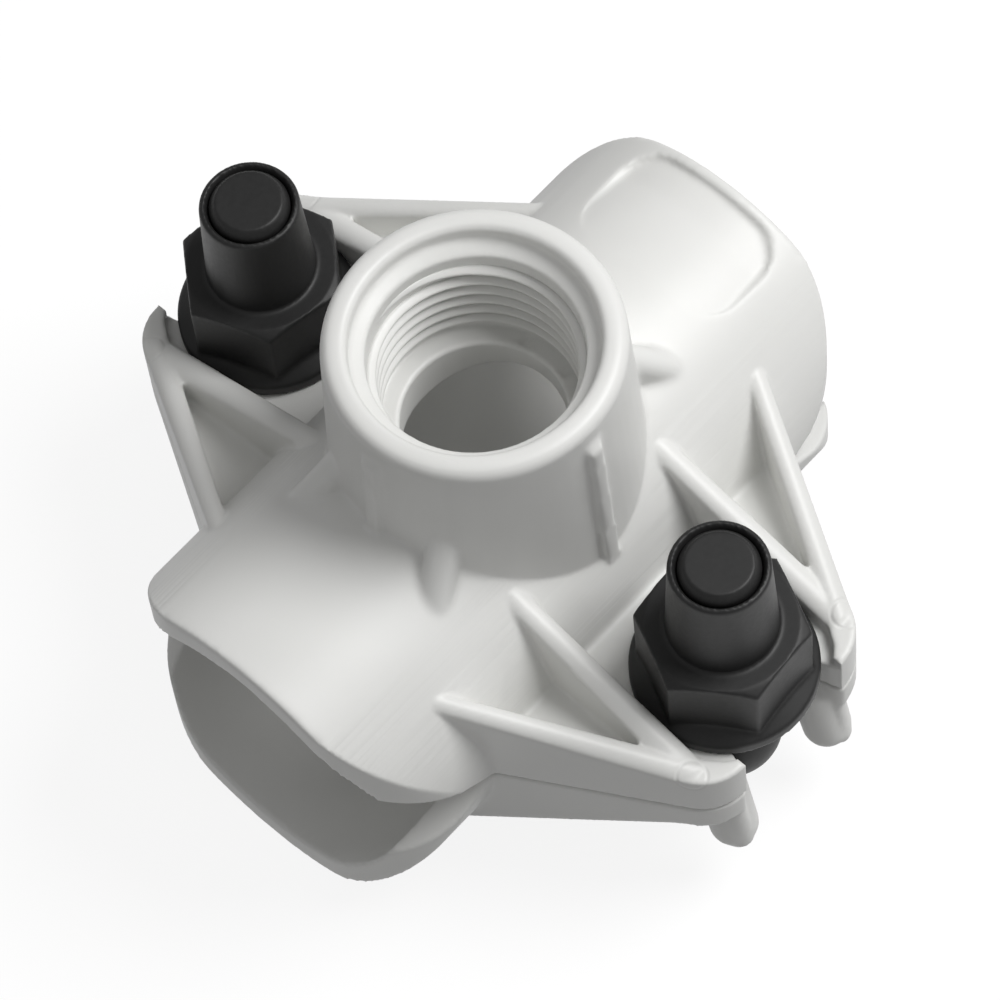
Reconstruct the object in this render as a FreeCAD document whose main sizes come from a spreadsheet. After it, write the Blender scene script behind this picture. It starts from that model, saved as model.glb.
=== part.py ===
"""Tapping saddle: a two-piece plastic clamp that carries a threaded outlet on a pipe.

Frame, in millimetres: the origin is where the pipe axis meets the outlet axis. +X runs along
the pipe, +Y towards the right-hand fastener, and +Z up along the outlet. The two halves part
at Z = 0. Each fastener is a T-headed bolt, hooked into the lower half, with a long nut.
"""
import FreeCAD, Part
import os
import re
import Sketcher
from FreeCAD import Placement, Rotation, Vector

doc = FreeCAD.newDocument("tapping_saddle")
sheet = doc.addObject("Spreadsheet::Sheet", "sizes")

# Driving sizes, each a cell of the sheet
SIZES = {
    # Shell: two half tubes round the pipe
    "pipe_radius": 16.0,
    "shell_wall": 3.2,
    "shell_half_length": 35.0,
    "shell_corner_radius": 11.0,   # rounding of each half in plan
    "lip_half_length": 22.2,       # the halves meet over this length only
    "lip_slope": 30.0,             # degrees, of the lip that leaves the parting plane
    "parting_gap": 0.3,
    # Ears and their fins
    "ear_reach": 39.0,
    "ear_root_x": 23.1,
    "ear_root_y": 14.5,
    "ear_tip_x": 10.6,
    "ear_tip_y": 36.0,
    "ear_corner_radius": 5.5,
    "pad_height": 4.5,             # nut seat above the parting plane
    "block_height": 6.2,           # raised corners that trap the nut's flange
    "lower_plate": 3.9,
    "fin_inset": 1.5,              # start of an outer fin inside the shell
    "fin_root_half_width": 1.1,
    "fin_tip_half_width": 1.5,
    "outer_fin_root_height": 12.9,
    "outer_fin_tip_height": 6.5,
    "inner_fin_root_x": 10.6,
    "inner_fin_root_y": 13.2,
    "inner_fin_root_height": 14.3,
    "inner_fin_tip_x": 10.8,
    "inner_fin_tip_y": 35.5,
    "inner_fin_tip_height": 6.4,
    "lower_fin_tip_height": 4.2,
    "block_inner_x": 12.7,         # slanted inner face of a raised corner
    "block_inner_y": 30.5,
    "block_nose_x": 8.0,
    "block_nose_y": 37.2,
    "block_lip": 1.1,              # wall between the nut seat and the ear's end
    # Outlet boss
    "boss_rim_height": 35.0,
    "boss_base_height": 8.0,
    "boss_base_radius": 15.8,
    "boss_rim_radius": 14.6,
    "boss_rim_round": 1.3,
    "mouth_radius": 12.0,
    "mouth_depth": 1.9,
    "mouth_edge": 0.5,
    "shelf_drop": 0.9,
    "thread_radius": 10.48,        # half the major diameter of a G 1/2 thread
    "passage_radius": 8.2,
    "passage_floor": 1.5,          # wall between the thread's end and the seal groove
    "boss_rib_width": 1.6,
    "boss_rib_proud": 0.7,
    "boss_rib_top": 2.0,           # below the rim
    "gusset_angle": 27.0,          # degrees from the pipe axis
    "gusset_width": 3.3,
    "gusset_foot_radius": 22.1,
    "gusset_top_height": 22.5,
    "gusset_round": 1.5,
    "gusset_sink": 0.123,          # of its top edge into the boss
    # Recessed panel on the far end of the crown
    "panel_near": 22.0,
    "panel_far": 33.8,
    "panel_half_width": 9.2,
    "panel_corner": 3.8,
    "panel_depth": 0.75,
    # Seal under the outlet
    "seal_inner_radius": 9.8,
    "seal_outer_radius": 13.0,
    "seal_depth": 1.7,
    "seal_clearance": 0.1,
    # Fasteners
    "bolt_spacing": 60.4,
    "bolt_radius": 4.0,
    "bolt_end_height": 27.2,
    "bolt_chamfer": 0.9,
    "bolt_end_radius": 3.35,
    "bar_radius": 3.7,
    "bar_half_length": 8.8,
    "bar_drop": 7.4,               # cross bar's axis below the parting plane
    "bar_clearance": 0.15,
    "slot_clearance": 0.7,
    "slot_mouth": 7.0,             # half width of a slot where it opens
    "prong_half_width": 2.1,
    "prong_inset": 6.0,            # inner side, from the ear's end
    "prong_tip_inset": 1.4,        # tip's centre, from the ear's end
    "prong_tip_radius": 2.0,
    "prong_round": 1.7,
    "prong_reach": 10.6,           # tip's centre below the parting plane
    "nut_height": 22.0,
    "nut_hex_height": 10.2,
    "nut_flat_radius": 7.5,
    "nut_flange_radius": 9.3,
    "nut_flange_height": 2.6,
    "nut_flange_edge": 1.5,
    "nut_neck_radius": 4.95,
    "nut_neck_base_radius": 5.5,
    "nut_rim_round": 0.4,
    "nut_chamfer": 0.7,
    "nut_mouth": 0.35,
    "nut_seat_gap": 0.1,
    "thread_clearance": 0.08,
    "left_nut_turn": -11.0,        # degrees
    "right_nut_turn": 4.0,         # degrees
}
for row, (alias, number) in enumerate(SIZES.items(), start=1):
    sheet.set(f"A{row}", alias.replace("_", " "))
    sheet.set(f"B{row}", f"{number:g}")
    sheet.setAlias(f"B{row}", alias)
doc.recompute()


def bound(expression):
    """Point every size named in an expression at its cell."""
    return re.sub(r"[a-z_]+", lambda m: f"sizes.{m[0]}" if m[0] in SIZES else m[0], expression)


def value(expression):
    """Present value of an expression of sizes."""
    return float(sheet.evalExpression(bound(expression)))


# Sketches and features

def sketch_on(body, name, role, offset="0", turn="0"):
    """A sketch on one of the body's origin planes, moved along and turned about its normal or Y."""
    sketch = body.newObject("Sketcher::SketchObject", name)
    plane = next(feature for feature in body.Origin.OriginFeatures if feature.Role == role)
    sketch.AttachmentSupport = [(plane, "")]
    sketch.MapMode = "FlatFace"
    sketch.AttachmentOffset = Placement(Vector(0, 0, 0), Rotation(Vector(0, 1, 0), value(turn)))
    sketch.setExpression("AttachmentOffset.Rotation.Angle", bound(turn))
    sketch.setExpression("AttachmentOffset.Base.z", bound(offset))
    return sketch


def bind(sketch, kind, target, expression):
    """Constrain one point or curve of a sketch to an expression."""
    index = sketch.addConstraint(Sketcher.Constraint(kind, *target, value(expression)))
    sketch.setExpression(f"Constraints[{index}]", bound(expression))


def arc_peak(start, end, radius):
    """Middle point of an arc that turns left where its radius is positive, else right."""
    chord = end - start
    right = Vector(chord.y, -chord.x, 0).normalize()
    rise = abs(radius) - (radius ** 2 - (chord.Length / 2) ** 2) ** 0.5
    return (start + end) * 0.5 + right * (rise if radius > 0 else -rise)


def outline(sketch, path):
    """Closed outline. Each entry is (x, y), or (x, y, radius) where an arc leaves that corner."""
    corners = [Vector(value(entry[0]), value(entry[1]), 0) for entry in path]
    ends = []
    for here, entry in enumerate(path):
        start, end = corners[here], corners[(here + 1) % len(path)]
        if len(entry) == 2:
            edge = sketch.addGeometry(Part.LineSegment(start, end))
            ends.append((edge, 1, 2))
            continue
        edge = sketch.addGeometry(Part.Arc(start, arc_peak(start, end, value(entry[2])), end))
        forward = sketch.getPoint(edge, 1).distanceToPoint(start) < 1e-6
        ends.append((edge, 1, 2) if forward else (edge, 2, 1))
        bind(sketch, "Radius", (edge,), f"abs({entry[2]})")
    for here, entry in enumerate(path):
        edge, start, _ = ends[here]
        before, _, end = ends[here - 1]
        sketch.addConstraint(Sketcher.Constraint("Coincident", before, end, edge, start))
        bind(sketch, "DistanceX", (-1, 1, edge, start), entry[0])
        bind(sketch, "DistanceY", (-1, 1, edge, start), entry[1])


def circle(sketch, x, y, radius):
    """Full circle."""
    centre = Vector(value(x), value(y), 0)
    edge = sketch.addGeometry(Part.Circle(centre, Vector(0, 0, 1), value(radius)))
    bind(sketch, "DistanceX", (-1, 1, edge, 3), x)
    bind(sketch, "DistanceY", (-1, 1, edge, 3), y)
    bind(sketch, "Radius", (edge,), radius)


def feature(body, kind, name, sketch):
    """A sketched feature that becomes the body's tip."""
    made = body.newObject(f"PartDesign::{kind}", name)
    made.Profile = sketch
    return made


def pad(body, name, sketch, length, symmetric=False, downward=False):
    """Extrude a sketch along its normal."""
    made = feature(body, "Pad", name, sketch)
    made.setExpression("Length", bound(length))
    made.SideType = "Symmetric" if symmetric else "One side"
    made.Reversed = downward
    doc.recompute()


def pocket(body, name, sketch, length, symmetric=False, upward=False):
    """Cut a sketch's outline out of the body, against its normal unless upward."""
    before = body.Shape.Volume
    made = feature(body, "Pocket", name, sketch)
    made.setExpression("Length", bound(length))
    made.SideType = "Symmetric" if symmetric else "One side"
    made.Reversed = upward
    doc.recompute()
    require(body.Shape.Volume < before - 1e-3, f"{name} cuts nothing")


def revolve(body, kind, name, sketch):
    """Turn a sketch all the way round its own vertical axis, as a Revolution or a Groove."""
    before = body.Shape.Volume if kind == "Groove" else 0
    made = feature(body, kind, name, sketch)
    made.ReferenceAxis = (sketch, ["V_Axis"])
    made.Angle = 360
    doc.recompute()
    require(kind != "Groove" or body.Shape.Volume < before - 1e-3, f"{name} cuts nothing")


def fillet(body, name, radius, wanted):
    """Round the edges whose bounding box is wanted."""
    base = body.Tip
    made = body.newObject("PartDesign::Fillet", name)
    made.Base = (base, [f"Edge{number}" for number, edge in enumerate(base.Shape.Edges, start=1)
                        if wanted(edge.BoundBox)])
    made.setExpression("Radius", bound(radius))
    doc.recompute()


def require(condition, message):
    """Stop the build when a step has gone wrong."""
    if not condition:
        raise RuntimeError(message)


# Saddle halves

QUARTERS = [(x, y) for x in (1, -1) for y in (1, -1)]
EAR_SLOPE = ("((ear_root_x + fin_root_half_width - ear_tip_x - fin_tip_half_width)"
             " / (ear_tip_y - ear_root_y))")
EAR_EDGE = f"(ear_root_x + fin_root_half_width + {EAR_SLOPE} * ear_root_y)"
SLOT = "(bolt_radius + slot_clearance)"


def plate(body, side, height):
    """Flat plate from ear to ear; fins and corners stand on its outline."""
    corners = [("ear_root_x", "ear_root_y"), ("ear_tip_x", "ear_tip_y"),
               ("block_nose_x", "ear_reach - block_lip / 2")]
    path = [(x, y) for x, y in corners]
    path += [(f"-({x})", y) for x, y in reversed(corners)]
    path += [(f"-({x})", f"-({y})") for x, y in corners]
    path += [(x, f"-({y})") for x, y in reversed(corners)]
    sketch = sketch_on(body, "plate_outline", "XY_Plane", f"{side} * parting_gap / 2")
    outline(sketch, path)
    pad(body, "plate", sketch, f"{height} - parting_gap / 2", downward=side < 0)


def fin_section(body, name, side, x, y, half_width, height):
    """Round-crested strip across a fin, in a plane square to Y."""
    top = f"{side} * ({height} - ({half_width}) / 2)"
    foot = f"{side} * parting_gap / 2"
    sketch = sketch_on(body, name, "XZ_Plane", f"-({y})")
    outline(sketch, [
        (f"({x}) + {half_width}", foot),
        (f"({x}) + {half_width}", top, f"{side} * 1.25 * ({half_width})"),
        (f"({x}) - {half_width}", top),
        (f"({x}) - {half_width}", foot)])
    return sketch


def fin(body, name, side, quarter, root, tip):
    """Tapered fin from inside the shell out to an ear's corner. An end is (x, y, width, height)."""
    sections = []
    for place, (x, y, half_width, height) in (("root", root), ("tip", tip)):
        x, y = f"{quarter[0]} * ({x})", f"{quarter[1]} * ({y})"
        sections.append(fin_section(body, f"{name}_{place}", side, x, y, half_width, height))
    loft = feature(body, "AdditiveLoft", name, sections[0])
    loft.Sections = [sections[1]]
    loft.Ruled = True
    doc.recompute()


def fins(body, side, outer_tip, inner_tip):
    """Four outer fins along the ears' edges and four inner ones beside the nuts."""
    slope = f"((outer_fin_root_height - {outer_tip}) / (ear_tip_y - ear_root_y))"
    inner_slope = f"((inner_fin_root_height - {inner_tip}) / (inner_fin_tip_y - inner_fin_root_y))"
    outer = [(f"ear_root_x + fin_inset * {EAR_SLOPE}", f"ear_root_y - fin_inset",
              "fin_root_half_width", f"(outer_fin_root_height + fin_inset * {slope})"),
             ("ear_tip_x", "ear_tip_y", "fin_tip_half_width", outer_tip)]
    inner = [("inner_fin_root_x", f"inner_fin_root_y - 2 * fin_inset",
              "fin_root_half_width", f"(inner_fin_root_height + 2 * fin_inset * {inner_slope})"),
             ("inner_fin_tip_x", "inner_fin_tip_y", "fin_tip_half_width", inner_tip)]
    for number, quarter in enumerate(QUARTERS):
        fin(body, f"outer_fin_{number}", side, quarter, *outer)
        fin(body, f"inner_fin_{number}", side, quarter, *inner)


def corners(body, side, height):
    """Corners of the two ears, with the slanted inner faces that surround the nut seat."""
    tangent = f"ear_corner_radius * tan(atan(1 / {EAR_SLOPE}) / 2)"
    corner_x = f"({EAR_EDGE} - {EAR_SLOPE} * ear_reach)"
    outer_x = f"({EAR_EDGE} - {EAR_SLOPE} * block_inner_y)"
    path = [("slot_mouth", "ear_reach - block_lip"), ("slot_mouth", "ear_reach"),
            (f"{corner_x} - {tangent}", "ear_reach", "-ear_corner_radius"),
            (f"{corner_x} + {tangent} * sin(atan({EAR_SLOPE}))",
             f"ear_reach - {tangent} * cos(atan({EAR_SLOPE}))"),
            (outer_x, "block_inner_y"), ("block_inner_x", "block_inner_y"),
            ("block_nose_x", "block_nose_y")]
    sketch = sketch_on(body, "corner_outlines", "XY_Plane", f"{side} * parting_gap / 2")
    for x_sign, y_sign in QUARTERS:
        turn = x_sign * y_sign
        outline(sketch, [(f"{x_sign} * ({entry[0]})", f"{y_sign} * ({entry[1]})")
                         + tuple(f"{turn} * ({radius})" for radius in entry[2:])
                         for entry in path])
    pad(body, "corners", sketch, f"{height} - parting_gap / 2", downward=side < 0)


def shell(body):
    """Tube round the pipe."""
    sketch = sketch_on(body, "shell_section", "YZ_Plane")
    circle(sketch, "0", "0", "pipe_radius + shell_wall")
    pad(body, "shell", sketch, "2 * shell_half_length", symmetric=True)


def round_ends(body):
    """Round the ends of the shell in plan."""
    sketch = sketch_on(body, "end_outlines", "XY_Plane")
    edge_x = "shell_half_length - shell_corner_radius"
    edge_y = "pipe_radius + shell_wall - shell_corner_radius"
    far_x, far_y = "shell_half_length + 5", "pipe_radius + shell_wall + 1"
    for x, y in QUARTERS:
        outline(sketch, [
            (f"{x} * (shell_half_length)", f"{y} * ({edge_y})", f"{x * y} * shell_corner_radius"),
            (f"{x} * ({edge_x})", f"{y} * (pipe_radius + shell_wall)"),
            (f"{x} * ({edge_x})", f"{y} * ({far_y})"),
            (f"{x} * ({far_x})", f"{y} * ({far_y})"),
            (f"{x} * ({far_x})", f"{y} * ({edge_y})")])
    pocket(body, "round_ends", sketch, "4 * (pipe_radius + shell_wall)", symmetric=True)


def lips(body, side):
    """Lift the ends of the half off the parting plane."""
    sketch = sketch_on(body, "lip_outlines", "XZ_Plane")
    reach = "(shell_half_length - lip_half_length + 1)"
    for x in (1, -1):
        outline(sketch, [
            (f"{x} * lip_half_length", f"{-side}"),
            (f"{x} * lip_half_length", f"{side} * parting_gap / 2"),
            (f"{x} * (lip_half_length + {reach})",
             f"{side} * (parting_gap / 2 + {reach} * tan(lip_slope))"),
            (f"{x} * (lip_half_length + {reach})", f"{-side}")])
    pocket(body, "lips", sketch, "4 * (pipe_radius + shell_wall)", symmetric=True)


def openings(body, side):
    """Pipe bore, open bolt slots and the parting face, cut last."""
    sketch = sketch_on(body, "bore_section", "YZ_Plane")
    circle(sketch, "0", "0", "pipe_radius")
    pocket(body, "pipe_bore", sketch, "2 * shell_half_length + 2", symmetric=True)

    sketch = sketch_on(body, "slot_outlines", "XY_Plane")
    for y in (1, -1):
        circle(sketch, "0", f"{y} * bolt_spacing / 2", SLOT)
    pocket(body, "slot_ends", sketch, "4 * (pipe_radius + shell_wall)", symmetric=True)
    sketch = sketch_on(body, "slot_mouths", "XY_Plane")
    for y in (1, -1):
        outline(sketch, [(f"-({SLOT})", f"{y} * bolt_spacing / 2"),
                         (SLOT, f"{y} * bolt_spacing / 2"),
                         ("slot_mouth", f"{y} * ear_reach"),
                         ("slot_mouth", f"{y} * (ear_reach + 1)"),
                         ("-slot_mouth", f"{y} * (ear_reach + 1)"),
                         ("-slot_mouth", f"{y} * ear_reach")])
    pocket(body, "slots", sketch, "4 * (pipe_radius + shell_wall)", symmetric=True)

    sketch = sketch_on(body, "parting_face", "XY_Plane", f"{side} * parting_gap / 2")
    circle(sketch, "0", "0", "2 * ear_reach")
    pocket(body, "parting", sketch, "2 * (pipe_radius + shell_wall)", upward=side < 0)


def panel(body):
    """Shallow recess on the far end of the crown, its floor round the pipe axis."""
    sketch = sketch_on(body, "panel_outline", "XY_Plane", "pipe_radius + 2 * shell_wall")
    path = []
    for x, y, step_x, step_y in (("panel_near", 1, 0, -1), ("panel_far", 1, 1, 0),
                                 ("panel_far", -1, 0, 1), ("panel_near", -1, -1, 0)):
        inward = 1 if x == "panel_near" else -1
        along = (f"-({x} + {inward} * panel_corner)", f"{y} * panel_half_width")
        across = (f"-({x})", f"{y} * (panel_half_width - panel_corner)")
        first, second = (across, along) if step_y else (along, across)
        path += [first + ("panel_corner",), second]
    outline(sketch, path)
    pocket(body, "panel", sketch, "3 * shell_wall")

    sketch = sketch_on(body, "panel_floor_section", "YZ_Plane", "-(panel_near - shell_wall)")
    circle(sketch, "0", "0", "pipe_radius + shell_wall - panel_depth")
    pad(body, "panel_floor", sketch, "shell_half_length - panel_near + shell_wall", downward=True)


def boss(body):
    """Threaded outlet: drafted boss with thin ribs and gussets, bored in steps."""
    draft = "((boss_base_radius - boss_rim_radius) / (boss_rim_height - boss_base_height))"
    sketch = sketch_on(body, "boss_profile", "XZ_Plane")
    outline(sketch, [
        ("0", "boss_base_height"), ("boss_base_radius", "boss_base_height"),
        ("boss_rim_radius", "boss_rim_height - boss_rim_round", "boss_rim_round * 1.02"),
        ("boss_rim_radius - boss_rim_round", "boss_rim_height"), ("0", "boss_rim_height")])
    revolve(body, "Revolution", "boss", sketch)

    rib_top = "(boss_rim_height - boss_rib_top)"
    rib_knee = "(boss_rim_height - 2 * boss_rib_top)"
    profile = [("boss_base_radius + boss_rib_proud", "boss_base_height"),
               (f"boss_base_radius + boss_rib_proud - {draft} * ({rib_knee} - boss_base_height)",
                rib_knee),
               ("boss_rim_radius - boss_rib_proud / 2", rib_top)]
    for role, place in (("XZ_Plane", "along"), ("YZ_Plane", "across")):
        sketch = sketch_on(body, f"rib_profile_{place}", role)
        outline(sketch, profile + [(f"-({x})", z) for x, z in reversed(profile)])
        pad(body, f"boss_ribs_{place}", sketch, "boss_rib_width", symmetric=True)

    wall = ("(boss_base_radius - (boss_base_radius - boss_rim_radius)"
            " * (gusset_top_height - boss_base_height)"
            " / (boss_rim_height - boss_rim_round - boss_base_height))")
    profile = [("gusset_foot_radius", "pipe_radius - shell_wall / 2"),
               (f"({wall} - gusset_sink)", "gusset_top_height")]
    for number, turn in enumerate(("gusset_angle", "-gusset_angle")):
        sketch = sketch_on(body, f"gusset_profile_{number}", "XZ_Plane", turn=turn)
        outline(sketch, profile + [(f"-({x})", z) for x, z in reversed(profile)])
        pad(body, f"gussets_{number}", sketch, "gusset_width", symmetric=True)
    fillet(body, "gusset_rounds", "gusset_round",
           lambda edge: edge.XLength > 2 and edge.YLength > 1 and edge.ZLength > 3
           and abs(edge.ZMax - value("gusset_top_height")) < 0.1)

    shelf = "(boss_rim_height - mouth_depth)"
    seat = "(pipe_radius + seal_depth + passage_floor)"
    sketch = sketch_on(body, "outlet_profile", "XZ_Plane")
    outline(sketch, [
        ("0", "0"), ("passage_radius", "0"), ("passage_radius", seat), ("thread_radius", seat),
        ("thread_radius", f"{shelf} - shelf_drop"), ("mouth_radius", shelf),
        ("mouth_radius", "boss_rim_height - mouth_edge"),
        ("mouth_radius + mouth_edge", "boss_rim_height"),
        ("mouth_radius + mouth_edge", "boss_rim_height + 1"), ("0", "boss_rim_height + 1")])
    revolve(body, "Groove", "outlet", sketch)


def half(name, side, plate_height, corner_height, outer_tip, inner_tip):
    """What the two halves share, up to the openings."""
    body = doc.addObject("PartDesign::Body", name)
    plate(body, side, plate_height)
    fins(body, side, outer_tip, inner_tip)
    corners(body, side, corner_height)
    shell(body)
    return body


def seal_ring(name, clearance):
    """Ring round the outlet between the pipe and the upper half's groove floor."""
    parts = []
    for label, radius, grow in (("outside", "seal_outer_radius", 1),
                                ("inside", "seal_inner_radius", -1)):
        tube = doc.addObject("Part::Cylinder", f"{name}_{label}")
        tube.setExpression("Radius", bound(f"{radius} + {grow} * {clearance}"))
        tube.setExpression("Height", bound("2 * pipe_radius"))
        parts.append(tube)
    ring = doc.addObject("Part::Cut", f"{name}_ring")
    ring.Base, ring.Tool = parts
    roof = doc.addObject("Part::Cylinder", f"{name}_roof")
    roof.setExpression("Radius", bound(f"pipe_radius + seal_depth - seal_clearance + {clearance}"))
    roof.setExpression("Height", bound("2 * shell_half_length"))
    roof.Placement = Placement(Vector(-value("shell_half_length"), 0, 0), Rotation(Vector(0, 1, 0), 90))
    roof.setExpression("Placement.Base.x", bound("-shell_half_length"))
    solid = doc.addObject("Part::Common", f"{name}_solid")
    solid.Base, solid.Tool = ring, roof
    return solid


def upper_saddle():
    """Upper half, with the outlet boss and the seal's groove."""
    body = half("upper_half", 1, "pad_height", "block_height",
                "outer_fin_tip_height", "inner_fin_tip_height")
    panel(body)
    round_ends(body)
    lips(body, 1)
    boss(body)
    openings(body, 1)
    node = doc.addObject("Part::Cut", "upper_saddle")
    node.Base, node.Tool = body, seal_ring("groove", "seal_clearance")
    return node


def lower_saddle():
    """Lower half, with the prongs that hook round each bolt's cross bar."""
    body = half("lower_saddle", -1, "lower_plate", "lower_plate",
                "lower_fin_tip_height", "lower_fin_tip_height")
    for x in (1, -1):
        centre = f"{x} * ({SLOT} + prong_half_width)"
        sketch = sketch_on(body, f"prong_outline_{'near' if x > 0 else 'far'}", "YZ_Plane", centre)
        for y in (1, -1):
            outline(sketch, [
                (f"{y} * (ear_reach - prong_inset)", "-lower_plate / 2"),
                (f"{y} * (ear_reach - prong_inset)", "-(prong_reach - prong_tip_radius)"),
                (f"{y} * (ear_reach - prong_tip_inset - prong_tip_radius * sin(45))",
                 "-(prong_reach + prong_tip_radius * sin(45))", f"{y} * prong_tip_radius"),
                (f"{y} * (ear_reach - prong_tip_inset + prong_tip_radius)", "-prong_reach"),
                (f"{y} * (ear_reach - block_lip / 2)", "-lower_plate / 2")])
        pad(body, f"prongs_{'near' if x > 0 else 'far'}", sketch, "2 * prong_half_width", symmetric=True)
    fillet(body, "prong_rounds", "prong_round",
           lambda edge: edge.XLength < 0.01 and edge.ZMin < -value("bar_drop")
           and edge.ZMax < -value("lower_plate") + 0.01)
    round_ends(body)
    lips(body, -1)
    sketch = sketch_on(body, "bar_seat_section", "YZ_Plane")
    for y in (1, -1):
        circle(sketch, f"{y} * bolt_spacing / 2", "-bar_drop", "bar_radius + bar_clearance")
    pocket(body, "bar_seats", sketch, "2 * (bar_half_length + bar_clearance)", symmetric=True)
    openings(body, -1)
    return body


# Seal and fasteners

def outlet_seal():
    """Rubber ring, curved to the pipe, in its groove round the outlet."""
    pipe = doc.addObject("Part::Cylinder", "seal_pipe")
    pipe.setExpression("Radius", bound("pipe_radius"))
    pipe.setExpression("Height", bound("2 * shell_half_length"))
    pipe.Placement = Placement(Vector(-value("shell_half_length"), 0, 0), Rotation(Vector(0, 1, 0), 90))
    pipe.setExpression("Placement.Base.x", bound("-shell_half_length"))
    node = doc.addObject("Part::Cut", "outlet_seal")
    node.Base, node.Tool = seal_ring("seal", "0"), pipe
    return node


def swing_bolt(name, side):
    """Bolt with a cross bar that hooks under the lower half's prongs."""
    body = doc.addObject("PartDesign::Body", name)
    sketch = sketch_on(body, "bar_section", "YZ_Plane")
    circle(sketch, "0", "-bar_drop", "bar_radius")
    pad(body, "cross_bar", sketch, "2 * bar_half_length", symmetric=True)
    sketch = sketch_on(body, "shank_profile", "XZ_Plane")
    outline(sketch, [
        ("0", "-bar_drop"), ("bolt_radius", "-bar_drop"),
        ("bolt_radius", "bolt_end_height - bolt_chamfer"),
        ("bolt_end_radius", "bolt_end_height"), ("0", "bolt_end_height")])
    revolve(body, "Revolution", "shank", sketch)
    body.setExpression("Placement.Base.y", bound(f"{side} * bolt_spacing / 2"))
    return body


def long_nut(name, side, turn):
    """Flanged hexagon nut with a long round neck."""
    body = doc.addObject("PartDesign::Body", name)
    corner = "(nut_flat_radius / cos(30))"
    sketch = sketch_on(body, "hexagon", "XY_Plane")
    outline(sketch, [(f"{corner} * cos({angle})", f"{corner} * sin({angle})")
                     for angle in range(0, 360, 60)])
    pad(body, "hex_pad", sketch, "nut_hex_height")

    sketch = sketch_on(body, "chamfer_profile", "XZ_Plane")
    outline(sketch, [
        ("nut_flat_radius", "nut_hex_height + 1"), ("nut_flat_radius", "nut_hex_height"),
        ("nut_flat_radius + 2 * nut_chamfer", "nut_hex_height - nut_chamfer"),
        ("nut_flat_radius + 2 * nut_chamfer", "nut_hex_height + 1")])
    revolve(body, "Groove", "hex_chamfer", sketch)

    sketch = sketch_on(body, "round_profile", "XZ_Plane")
    outline(sketch, [
        ("0", "0"), ("nut_flange_radius", "0"), ("nut_flange_radius", "nut_flange_edge"),
        ("nut_flat_radius", "nut_flange_height"), ("nut_neck_base_radius", "nut_flange_height"),
        ("nut_neck_base_radius", "nut_hex_height"),
        ("nut_neck_radius", "nut_height - nut_rim_round", "nut_rim_round * 1.02"),
        ("nut_neck_radius - nut_rim_round", "nut_height"), ("0", "nut_height")])
    revolve(body, "Revolution", "flange_and_neck", sketch)

    bore = "(bolt_radius + thread_clearance)"
    sketch = sketch_on(body, "bore_profile", "XZ_Plane")
    outline(sketch, [
        ("0", "-1"), (f"{bore} + nut_mouth", "-1"), (f"{bore} + nut_mouth", "0"),
        (bore, "nut_mouth"), (bore, "nut_height - 2 * nut_mouth"),
        (f"{bore} + nut_mouth", "nut_height"), (f"{bore} + nut_mouth", "nut_height + 1"),
        ("0", "nut_height + 1")])
    revolve(body, "Groove", "thread_bore", sketch)
    body.Placement = Placement(Vector(0, 0, 0), Rotation(Vector(0, 0, 1), value(turn)))
    body.setExpression("Placement.Base.y", bound(f"{side} * bolt_spacing / 2"))
    body.setExpression("Placement.Base.z", bound("pad_height + nut_seat_gap"))
    body.setExpression("Placement.Rotation.Angle", bound(turn))
    return body


nodes = [
    lower_saddle(),
    upper_saddle(),
    outlet_seal(),
    swing_bolt("left_bolt", -1),
    swing_bolt("right_bolt", 1),
    long_nut("left_nut", -1, "left_nut_turn"),
    long_nut("right_nut", 1, "right_nut_turn"),
]
doc.recompute()

for item in doc.Objects:
    require(not {"Invalid", "Error"} & set(item.State), f"{item.Label} has failed")
for node in nodes:
    require(not node.Shape.isNull() and node.Shape.isValid(), f"{node.Label} has no valid shape")
    require(len(node.Shape.Solids) == 1, f"{node.Label} is {len(node.Shape.Solids)} solids")

os.makedirs("parts", exist_ok=True)
for node in nodes:
    node.Shape.exportStep(f"parts/{node.Label}.step")
    print(f"{node.Label}: {node.Shape.Volume / 1000:.2f} cm3")
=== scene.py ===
import math

import bmesh
import bpy
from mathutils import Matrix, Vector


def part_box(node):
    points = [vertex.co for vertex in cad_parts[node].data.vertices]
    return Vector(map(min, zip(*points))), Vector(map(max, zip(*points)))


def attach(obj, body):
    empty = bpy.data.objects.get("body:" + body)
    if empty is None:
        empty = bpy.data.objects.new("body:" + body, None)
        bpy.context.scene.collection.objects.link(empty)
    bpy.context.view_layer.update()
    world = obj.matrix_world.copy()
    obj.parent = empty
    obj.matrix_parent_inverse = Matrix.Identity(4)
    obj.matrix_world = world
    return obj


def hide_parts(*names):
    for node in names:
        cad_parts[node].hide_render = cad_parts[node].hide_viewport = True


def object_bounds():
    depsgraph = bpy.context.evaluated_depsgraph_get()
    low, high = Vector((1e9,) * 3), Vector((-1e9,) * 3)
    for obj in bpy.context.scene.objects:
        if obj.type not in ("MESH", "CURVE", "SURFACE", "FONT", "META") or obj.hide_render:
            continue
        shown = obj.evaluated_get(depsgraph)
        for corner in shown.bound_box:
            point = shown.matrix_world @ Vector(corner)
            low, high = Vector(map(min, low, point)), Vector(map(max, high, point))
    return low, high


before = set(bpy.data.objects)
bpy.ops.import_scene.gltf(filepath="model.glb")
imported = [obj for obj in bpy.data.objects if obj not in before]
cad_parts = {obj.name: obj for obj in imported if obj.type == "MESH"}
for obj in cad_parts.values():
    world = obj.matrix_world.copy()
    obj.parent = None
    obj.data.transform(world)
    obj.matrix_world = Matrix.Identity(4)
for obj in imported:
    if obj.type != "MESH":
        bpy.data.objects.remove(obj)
cad_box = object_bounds()
MM = 0.001

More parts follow.
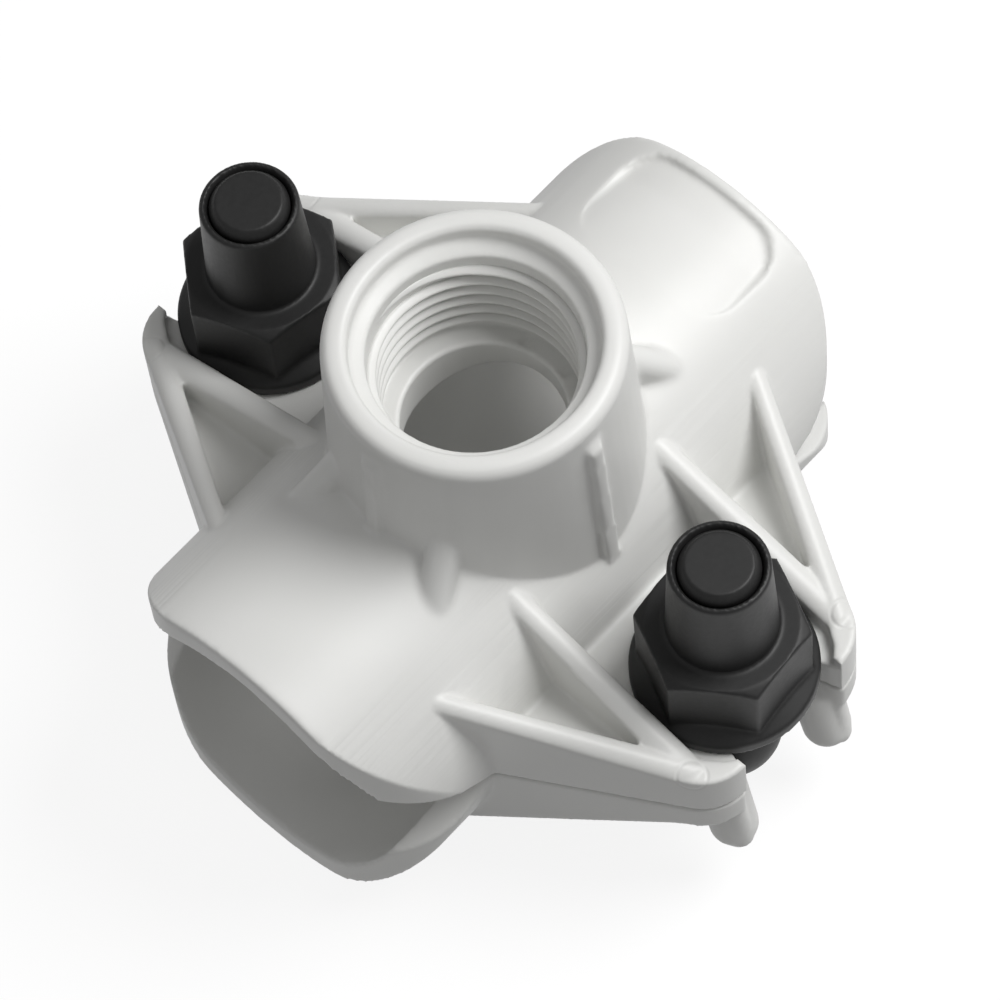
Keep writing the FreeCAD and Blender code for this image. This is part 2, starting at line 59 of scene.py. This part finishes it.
# ---------------------------------------------------------------- lower half
# The lower half of the saddle: a half shell with an ear on each side, injection moulded in one
# piece of white acetal.  The steel mould leaves it satin, with every edge and corner rounded off.
PLASTIC_WHITE = "#E8E8E6"
PLASTIC_SHADE = "#DFDFDC"
GRAIN_SIZE = 0.35 * MM           # the fine texture that the blasted mould leaves
FLOW_SIZE = 14 * MM              # the faint clouding where the melt ran
PIN_X, PIN_Y, PIN_Z = 11.3 * MM, 35.9 * MM, 6.2 * MM  # ejector pins' marks on the corners
PIN_RADIUS = 1.5 * MM
PIN_EDGE = 0.3 * MM              # half the width of a mark's raised ring
PIPE_RADIUS = 16.0 * MM
SHELL_RADIUS = 19.2 * MM
THUMB_X = 7.0 * MM               # the rounded fingers that hook round the bolts' heads
THUMB_TOP_Y, THUMB_TOP_Z = 35.6 * MM, 4.0 * MM
THUMB_TIP_Y, THUMB_TIP_Z = 37.0 * MM, 10.0 * MM
THUMB_RADIUS = 2.6 * MM
THUMB_TAPER = 0.96               # the tip's radius as a share of the top's
WELD = 0.002 * MM                # closer than this, corners of the loose CAD faces are one
SOFTENING = 0.5                  # how far a pass moves a corner towards its neighbours
HALF_PASSES = 2                  # passes that give a half's edges their moulded softness
LOWER_VOXEL = 0.3 * MM
LOWER_KEEP = 0.4                 # the share of the faces that are kept
SQUARE_ON = 0.985                # cosine from which a face counts as part of a cylinder
SHELL_REACH = 0.25 * MM          # the furthest that a corner is moved to its true cylinder


def linear(colour):
    """An sRGB hex value as linear red, green, blue and alpha."""
    parts = [int(colour[i:i + 2], 16) / 255 for i in (1, 3, 5)]
    return [p / 12.92 if p <= 0.04045 else ((p + 0.055) / 1.055) ** 2.4 for p in parts] + [1.0]


def add_node(material, kind, settings=(), links=()):
    """Adds one node, sets its properties or input values, and links outputs to its inputs."""
    node = material.node_tree.nodes.new(kind)
    for name, value in dict(settings).items():
        if isinstance(name, int) or name in node.inputs:
            node.inputs[name].default_value = value
        else:
            setattr(node, name, value)
    for name, output in dict(links).items():
        material.node_tree.links.new(output, node.inputs[name])
    return node


def pick(*objects):
    """Selects only these objects, the last one active."""
    bpy.ops.object.select_all(action="DESELECT")
    for obj in objects:
        obj.select_set(True)
    bpy.context.view_layer.objects.active = objects[-1]


def moulded_copy(node, name, voxel, passes, forms=()):
    """A node's shape, with further forms moulded on, and the soft edges that its mould gives it."""
    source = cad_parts[node]
    piece = bpy.data.objects.new(name, source.data.copy())
    bpy.context.scene.collection.objects.link(piece)
    pick(piece)
    bpy.ops.object.mode_set(mode="EDIT")
    bpy.ops.mesh.select_all(action="SELECT")
    bpy.ops.mesh.remove_doubles(threshold=WELD)
    bpy.ops.object.mode_set(mode="OBJECT")
    pick(*forms, piece)
    if forms:
        bpy.ops.object.join()
    skin = piece.modifiers.new("skin", "REMESH")
    skin.mode = "VOXEL"
    skin.voxel_size = voxel
    bpy.ops.object.modifier_apply(modifier="skin")
    soft = piece.modifiers.new("soft", "SMOOTH")
    soft.factor = SOFTENING
    soft.iterations = passes
    bpy.ops.object.modifier_apply(modifier="soft")
    bpy.ops.object.shade_smooth()
    return piece


def thin_out(piece, keep):
    """Leaves the share of the faces that its shape needs."""
    pick(piece)
    piece.modifiers.new("thin", "DECIMATE").ratio = keep
    bpy.ops.object.modifier_apply(modifier="thin")


def coat(piece, material):
    """Gives a piece this material alone."""
    piece.data.materials.clear()
    piece.data.materials.append(material)


def true_shell(piece):
    """Brings the shell's inside and outside back to true cylinders round the pipe axis."""
    facing = [vertex.normal.copy() for vertex in piece.data.vertices]
    for vertex, normal in zip(piece.data.vertices, facing):
        place = vertex.co
        radius = math.hypot(place.y, place.z)
        if abs(normal.y * place.y + normal.z * place.z) < SQUARE_ON * radius:
            continue
        for wanted in (PIPE_RADIUS, SHELL_RADIUS):
            if abs(radius - wanted) < SHELL_REACH:
                place.y *= wanted / radius
                place.z *= wanted / radius


def satin_acetal():
    # White acetal from a blasted steel mould: opaque and slightly milky, with a broad soft
    # highlight, a grain just fine enough to feel, and very faint clouds from the flow.
    material = bpy.data.materials.new("white_moulded_acetal")
    material.use_nodes = True
    shader = material.node_tree.nodes["Principled BSDF"]
    shader.inputs["IOR"].default_value = 1.48
    shader.inputs["Subsurface Weight"].default_value = 0.06
    shader.inputs["Subsurface Radius"].default_value = (0.8 * MM, 0.8 * MM, 0.8 * MM)
    shader.inputs["Subsurface Scale"].default_value = 1.0
    place = add_node(material, "ShaderNodeTexCoord").outputs["Object"]
    flow = add_node(material, "ShaderNodeTexNoise",
                    {"Scale": 1 / FLOW_SIZE, "Detail": 2.0}, {"Vector": place})
    tint = add_node(material, "ShaderNodeMix",
                    {"data_type": "RGBA", 6: linear(PLASTIC_WHITE), 7: linear(PLASTIC_SHADE)},
                    {0: flow.outputs["Fac"]})
    grain = add_node(material, "ShaderNodeTexNoise",
                     {"Scale": 1 / GRAIN_SIZE, "Detail": 3.0}, {"Vector": place})
    gloss = add_node(material, "ShaderNodeMapRange",
                     {"To Min": 0.36, "To Max": 0.48}, {"Value": grain.outputs["Fac"]})
    relief = add_node(material, "ShaderNodeBump", {"Strength": 0.12, "Distance": 0.02 * MM},
                      {"Height": grain.outputs["Fac"]})
    corner = add_node(material, "ShaderNodeVectorMath", {"operation": "ABSOLUTE"}, {0: place})
    from_pin = add_node(material, "ShaderNodeVectorMath",
                        {"operation": "DISTANCE", 1: (PIN_X, PIN_Y, PIN_Z)},
                        {0: corner.outputs[0]})
    rim = add_node(material, "ShaderNodeMath", {"operation": "SUBTRACT", 1: PIN_RADIUS},
                   {0: from_pin.outputs["Value"]})
    off_rim = add_node(material, "ShaderNodeMath", {"operation": "ABSOLUTE"}, {0: rim.outputs[0]})
    ring = add_node(material, "ShaderNodeMapRange",
                    {"interpolation_type": "SMOOTHSTEP", "From Max": PIN_EDGE,
                     "To Min": 0.0, "To Max": 1.0}, {"Value": off_rim.outputs[0]})
    pin_mark = add_node(material, "ShaderNodeBump", {"Strength": 0.5, "Distance": 0.1 * MM},
                        {"Height": ring.outputs["Result"], "Normal": relief.outputs["Normal"]})
    links = material.node_tree.links
    links.new(tint.outputs[2], shader.inputs["Base Color"])
    links.new(gloss.outputs["Result"], shader.inputs["Roughness"])
    links.new(pin_mark.outputs["Normal"], shader.inputs["Normal"])
    return material


def thumb(top, tip):
    """A rounded finger between two points."""
    balls = []
    for place, radius in ((top, THUMB_RADIUS), (tip, THUMB_RADIUS * THUMB_TAPER)):
        bpy.ops.mesh.primitive_uv_sphere_add(segments=32, ring_count=16, radius=radius,
                                             location=place)
        balls.append(bpy.context.object)
    pick(*balls)
    bpy.ops.object.join()
    bpy.ops.object.mode_set(mode="EDIT")
    bpy.ops.mesh.select_all(action="SELECT")
    bpy.ops.mesh.convex_hull()
    bpy.ops.object.mode_set(mode="OBJECT")
    bpy.ops.object.transform_apply(location=True, rotation=True, scale=True)
    return bpy.context.object


white_acetal = satin_acetal()
thumbs = [thumb((x * THUMB_X, y * THUMB_TOP_Y, -THUMB_TOP_Z),
                (x * THUMB_X, y * THUMB_TIP_Y, -THUMB_TIP_Z))
          for x in (-1, 1) for y in (-1, 1)]
lower_half = moulded_copy("lower_saddle", "lower_half", LOWER_VOXEL, HALF_PASSES, thumbs)
true_shell(lower_half)
thin_out(lower_half, LOWER_KEEP)
coat(lower_half, white_acetal)
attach(lower_half, "base")
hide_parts("lower_saddle")

# ---------------------------------------------------------------- upper half
# The upper half with the outlet: the same white acetal, moulded in one piece with its ears,
# their fins and the threaded boss.  The thread is moulded on a core that unscrews.
THREAD_PITCH = 1.8143 * MM
THREAD_CREST = 9.66 * MM         # the inner radius of the ridges
THREAD_WALL = 10.6 * MM          # just inside the wall that the ridges stand on
THREAD_BOTTOM = 19.5 * MM
THREAD_TURNS = 6.0
THREAD_RUN_OUT = 0.22            # the part of a turn over which the ridge rises from the wall
THREAD_END = math.radians(-62)   # where the ridge runs out under the mouth
STEPS_A_TURN = 90
FLATTEST_RIDGE = 0.02            # its height at the very ends, so that its faces stay open
RIDGE_WIDTH = 0.94
RIDGE_SECTION = [                # share of the depth from the crest, share of a pitch along
    (1.0, -0.38), (0.50, -0.24), (0.16, -0.14), (0.03, -0.07), (0.0, 0.0),
    (0.03, 0.07), (0.16, 0.14), (0.50, 0.24), (1.0, 0.38),
]
PANEL_NEAR = 21.0 * MM           # where the sunk panel runs out into the shell
PANEL_FULL = 30.0 * MM           # from here on it has its full depth
PANEL_SOFT = 33.2 * MM           # the far edge, beyond this, is the only crisp one
PANEL_HALF_WIDTH = 9.8 * MM
PANEL_MARGIN = 2.0 * MM          # how far past its half width the panel's sides are searched
PANEL_DEEPEST = 1.1 * MM         # a little more than the panel's depth
PANEL_CURVE = 1.5                # how gently the panel starts to sink
PANEL_PASSES, BOSS_PASSES = 10, 14
RIB_BOTTOM = 16.0 * MM           # the ribs on the boss, rounder than the other edges
RIB_TOP = 33.0 * MM
BOSS_SKIN = 12.6 * MM            # from this radius outwards lies the boss's outside
UPPER_VOXEL = 0.26 * MM
UPPER_KEEP = 0.32

upper_half = moulded_copy("upper_saddle", "upper_half", UPPER_VOXEL, HALF_PASSES)
true_shell(upper_half)
coat(upper_half, white_acetal)
panel_skin = []
for vertex in upper_half.data.vertices:
    place = vertex.co
    radius = math.hypot(place.y, place.z)
    beside = abs(place.y) > PANEL_HALF_WIDTH + PANEL_MARGIN
    if beside or place.x > -PANEL_NEAR or place.z < 0:
        continue
    if radius > SHELL_RADIUS - PANEL_DEEPEST:
        share = min(1.0, (-place.x - PANEL_NEAR) / (PANEL_FULL - PANEL_NEAR)) ** PANEL_CURVE
        lifted = SHELL_RADIUS - (SHELL_RADIUS - radius) * share
        place.y *= lifted / radius
        place.z *= lifted / radius
        if -place.x < PANEL_SOFT:
            panel_skin.append(vertex.index)
boss_skin = [vertex.index for vertex in upper_half.data.vertices
             if RIB_BOTTOM < vertex.co.z < RIB_TOP
             and math.hypot(vertex.co.x, vertex.co.y) > BOSS_SKIN]
pick(upper_half)
for name, skin, passes in (("panel", panel_skin, PANEL_PASSES), ("boss", boss_skin, BOSS_PASSES)):
    upper_half.vertex_groups.new(name=name).add(skin, 1.0, "REPLACE")
    soft = upper_half.modifiers.new(name, "SMOOTH")
    soft.vertex_group = name
    soft.factor = SOFTENING
    soft.iterations = passes
    bpy.ops.object.modifier_apply(modifier=name)
upper_half.vertex_groups.clear()
thin_out(upper_half, UPPER_KEEP)

mesh = bmesh.new()
rings = []
ring_count = int(THREAD_TURNS * STEPS_A_TURN) + 1
for i in range(ring_count):
    angle = THREAD_END + 2 * math.pi * (i / STEPS_A_TURN - THREAD_TURNS)
    from_end = min(i, ring_count - 1 - i) / (THREAD_RUN_OUT * STEPS_A_TURN)
    height = min(1.0, max(FLATTEST_RIDGE, from_end))
    ring = []
    for depth, along in RIDGE_SECTION:
        radius = THREAD_WALL - (1 - depth) * (THREAD_WALL - THREAD_CREST) * height
        z = THREAD_BOTTOM + THREAD_PITCH * (i / STEPS_A_TURN + along * RIDGE_WIDTH)
        ring.append(mesh.verts.new((radius * math.cos(angle), radius * math.sin(angle), z)))
    rings.append(ring)
for low, high in zip(rings, rings[1:]):
    for k in range(len(RIDGE_SECTION)):
        j = (k + 1) % len(RIDGE_SECTION)
        mesh.faces.new((low[k], low[j], high[j], high[k]))
mesh.faces.new(rings[0])
mesh.faces.new(rings[-1][::-1])
bmesh.ops.recalc_face_normals(mesh, faces=mesh.faces)
thread = bpy.data.objects.new("thread_ridge", bpy.data.meshes.new("thread_ridge"))
mesh.to_mesh(thread.data)
mesh.free()
bpy.context.scene.collection.objects.link(thread)
thread.data.materials.append(white_acetal)
pick(thread)
bpy.ops.object.shade_smooth()
pick(thread, upper_half)
bpy.ops.object.join()
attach(upper_half, "outlet_half")
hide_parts("upper_saddle")

# ---------------------------------------------------------------- outlet seal
# The ring that seals the outlet against the pipe: black rubber, pressed into a groove round the
# hole and held there by its own fit.
RUBBER = "#1C1C1C"
RUBBER_BLOOM = "#2A2A2A"
BLOOM_SIZE = 2 * MM


def soft_rubber():
    # Moulded nitrile rubber: a dull near-black with a slight bloom and hardly any highlight.
    material = bpy.data.materials.new("black_moulded_rubber")
    material.use_nodes = True
    shader = material.node_tree.nodes["Principled BSDF"]
    shader.inputs["IOR"].default_value = 1.52
    place = add_node(material, "ShaderNodeTexCoord").outputs["Object"]
    bloom = add_node(material, "ShaderNodeTexNoise",
                     {"Scale": 1 / BLOOM_SIZE, "Detail": 4.0}, {"Vector": place})
    tint = add_node(material, "ShaderNodeMix",
                    {"data_type": "RGBA", 6: linear(RUBBER), 7: linear(RUBBER_BLOOM)},
                    {0: bloom.outputs["Fac"]})
    gloss = add_node(material, "ShaderNodeMapRange",
                     {"To Min": 0.6, "To Max": 0.8}, {"Value": bloom.outputs["Fac"]})
    links = material.node_tree.links
    links.new(tint.outputs[2], shader.inputs["Base Color"])
    links.new(gloss.outputs["Result"], shader.inputs["Roughness"])
    return material


coat(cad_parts["outlet_seal"], soft_rubber())

# ---------------------------------------------------------------- swing bolts
# Two T-headed bolts that hang in the lower half's prongs and swing up through the ears' slots:
# moulded black glass-filled nylon.  Their threads lie inside the nuts and aren't drawn.
NYLON_BLACK = "#1B1B1B"
NYLON_GREY = "#252525"
FIBRE_SIZE = 0.5 * MM            # coarser than the real fibres, so that the mottle shows
FASTENER_VOXEL = 0.2 * MM
FASTENER_PASSES = 3
EYE_RADIUS = 5.5 * MM
EYE_HALF_WIDTH = 4.0 * MM
EYE_DROP = 7.9 * MM              # the eye's centre below the parting plane


def glass_nylon():
    # Black glass-filled nylon: a dark grey-black satin with a faint fibre mottle that breaks up
    # the highlight.
    material = bpy.data.materials.new("black_glass_filled_nylon")
    material.use_nodes = True
    shader = material.node_tree.nodes["Principled BSDF"]
    shader.inputs["IOR"].default_value = 1.53
    shader.inputs["Specular IOR Level"].default_value = 0.38
    place = add_node(material, "ShaderNodeTexCoord").outputs["Object"]
    fibre = add_node(material, "ShaderNodeTexNoise",
                     {"Scale": 1 / FIBRE_SIZE, "Detail": 4.0}, {"Vector": place})
    tint = add_node(material, "ShaderNodeMix",
                    {"data_type": "RGBA", 6: linear(NYLON_BLACK), 7: linear(NYLON_GREY)},
                    {0: fibre.outputs["Fac"]})
    gloss = add_node(material, "ShaderNodeMapRange",
                     {"To Min": 0.42, "To Max": 0.56}, {"Value": fibre.outputs["Fac"]})
    relief = add_node(material, "ShaderNodeBump", {"Strength": 0.15, "Distance": 0.02 * MM},
                      {"Height": fibre.outputs["Fac"]})
    links = material.node_tree.links
    links.new(tint.outputs[2], shader.inputs["Base Color"])
    links.new(gloss.outputs["Result"], shader.inputs["Roughness"])
    links.new(relief.outputs["Normal"], shader.inputs["Normal"])
    return material


def bolt_eye(y):
    """The round head of a bolt, flat where it turns between the two prongs."""
    bpy.ops.mesh.primitive_uv_sphere_add(segments=48, ring_count=32, radius=EYE_RADIUS,
                                         location=(0, y, -EYE_DROP))
    bpy.ops.object.transform_apply(location=True, rotation=True, scale=True)
    bpy.ops.object.mode_set(mode="EDIT")
    for x in (-1, 1):
        bpy.ops.mesh.select_all(action="SELECT")
        bpy.ops.mesh.bisect(plane_co=(x * EYE_HALF_WIDTH, 0, 0), plane_no=(x, 0, 0),
                            use_fill=True, clear_outer=True)
    bpy.ops.object.mode_set(mode="OBJECT")
    return bpy.context.object


black_nylon = glass_nylon()
for side in ("left", "right"):
    low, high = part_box(side + "_bolt")
    bolt = moulded_copy(side + "_bolt", side + "_swing_bolt", FASTENER_VOXEL, FASTENER_PASSES,
                        [bolt_eye((low[1] + high[1]) / 2)])
    coat(bolt, black_nylon)
    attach(bolt, "base")
    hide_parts(side + "_bolt")

# ---------------------------------------------------------------- long nuts
# Two long flanged nuts in the same black nylon: a washer flange, a hexagon for the spanner and a
# tapering neck that covers the bolt's thread.
for side in ("left", "right"):
    nut = moulded_copy(side + "_nut", side + "_long_nut", FASTENER_VOXEL, FASTENER_PASSES)
    coat(nut, black_nylon)
    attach(nut, side + "_fastening")
    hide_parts(side + "_nut")

# ---------------------------------------------------------------- floor, light and camera
# A white table under a large soft lamp, and the camera high over the outlet, as in the
# photograph.
FLOOR_Z = cad_box[0][2] - 0.05 * MM
FLOOR_SIZE = 4.0
PAPER_GREY = "#707070"           # what the paper sends back to the saddle
PAPER_GLOW = 0.87                # what makes it white where it is seen
ROOM_LIGHT = 0.325
LAMP_PLACE = (-0.17, 0.13, 0.34)
LAMP_SIZE = 0.22
LAMP_POWER = 1.2                 # watts
CAMERA_PLACE = (0.162786, 0.186601, 0.481103)  # found from the photograph's own edges
CAMERA_TURN = (27.117, 3.446, 132.096)
CAMERA_LENS = 196.14             # millimetres, on a sensor 36 wide

bpy.ops.mesh.primitive_plane_add(size=FLOOR_SIZE, location=(0, 0, FLOOR_Z))
floor = bpy.context.object
floor.name = "table"
bpy.ops.object.transform_apply(location=True, rotation=True, scale=True)
paper = bpy.data.materials.new("white_table_paper")
paper.use_nodes = True
sheet = paper.node_tree.nodes["Principled BSDF"]
sheet.inputs["Base Color"].default_value = linear(PAPER_GREY)
sheet.inputs["Roughness"].default_value = 0.9
ray = add_node(paper, "ShaderNodeLightPath")
mirrored = add_node(paper, "ShaderNodeMath", {"operation": "MAXIMUM"},
                    {0: ray.outputs["Is Glossy Ray"], 1: ray.outputs["Is Transmission Ray"]})
seen = add_node(paper, "ShaderNodeMath", {"operation": "MAXIMUM"},
                {0: ray.outputs["Is Camera Ray"], 1: mirrored.outputs[0]})
glow = add_node(paper, "ShaderNodeMath", {"operation": "MULTIPLY", 1: PAPER_GLOW},
                {0: seen.outputs[0]})
sheet.inputs["Emission Color"].default_value = (1, 1, 1, 1)
paper.node_tree.links.new(glow.outputs[0], sheet.inputs["Emission Strength"])
floor.data.materials.append(paper)

world = bpy.data.worlds.new("studio")
world.use_nodes = True
world.node_tree.nodes["Background"].inputs["Color"].default_value = (1, 1, 1, 1)
world.node_tree.nodes["Background"].inputs["Strength"].default_value = ROOM_LIGHT
bpy.context.scene.world = world

lamp_data = bpy.data.lights.new("soft_box", "AREA")
lamp_data.shape = "DISK"
lamp_data.size = LAMP_SIZE
lamp_data.energy = LAMP_POWER
lamp = bpy.data.objects.new("soft_box", lamp_data)
bpy.context.scene.collection.objects.link(lamp)
lamp.location = LAMP_PLACE
lamp.rotation_euler = lamp.location.to_track_quat("Z", "Y").to_euler()

camera_data = bpy.data.cameras.new("camera")
camera_data.sensor_width = 36
camera_data.lens = CAMERA_LENS
camera_data.clip_start = 0.01
camera = bpy.data.objects.new("camera", camera_data)
bpy.context.scene.collection.objects.link(camera)
camera.location = CAMERA_PLACE
camera.rotation_euler = [math.radians(angle) for angle in CAMERA_TURN]
bpy.context.scene.camera = camera
bpy.context.scene.view_settings.view_transform = "Standard"
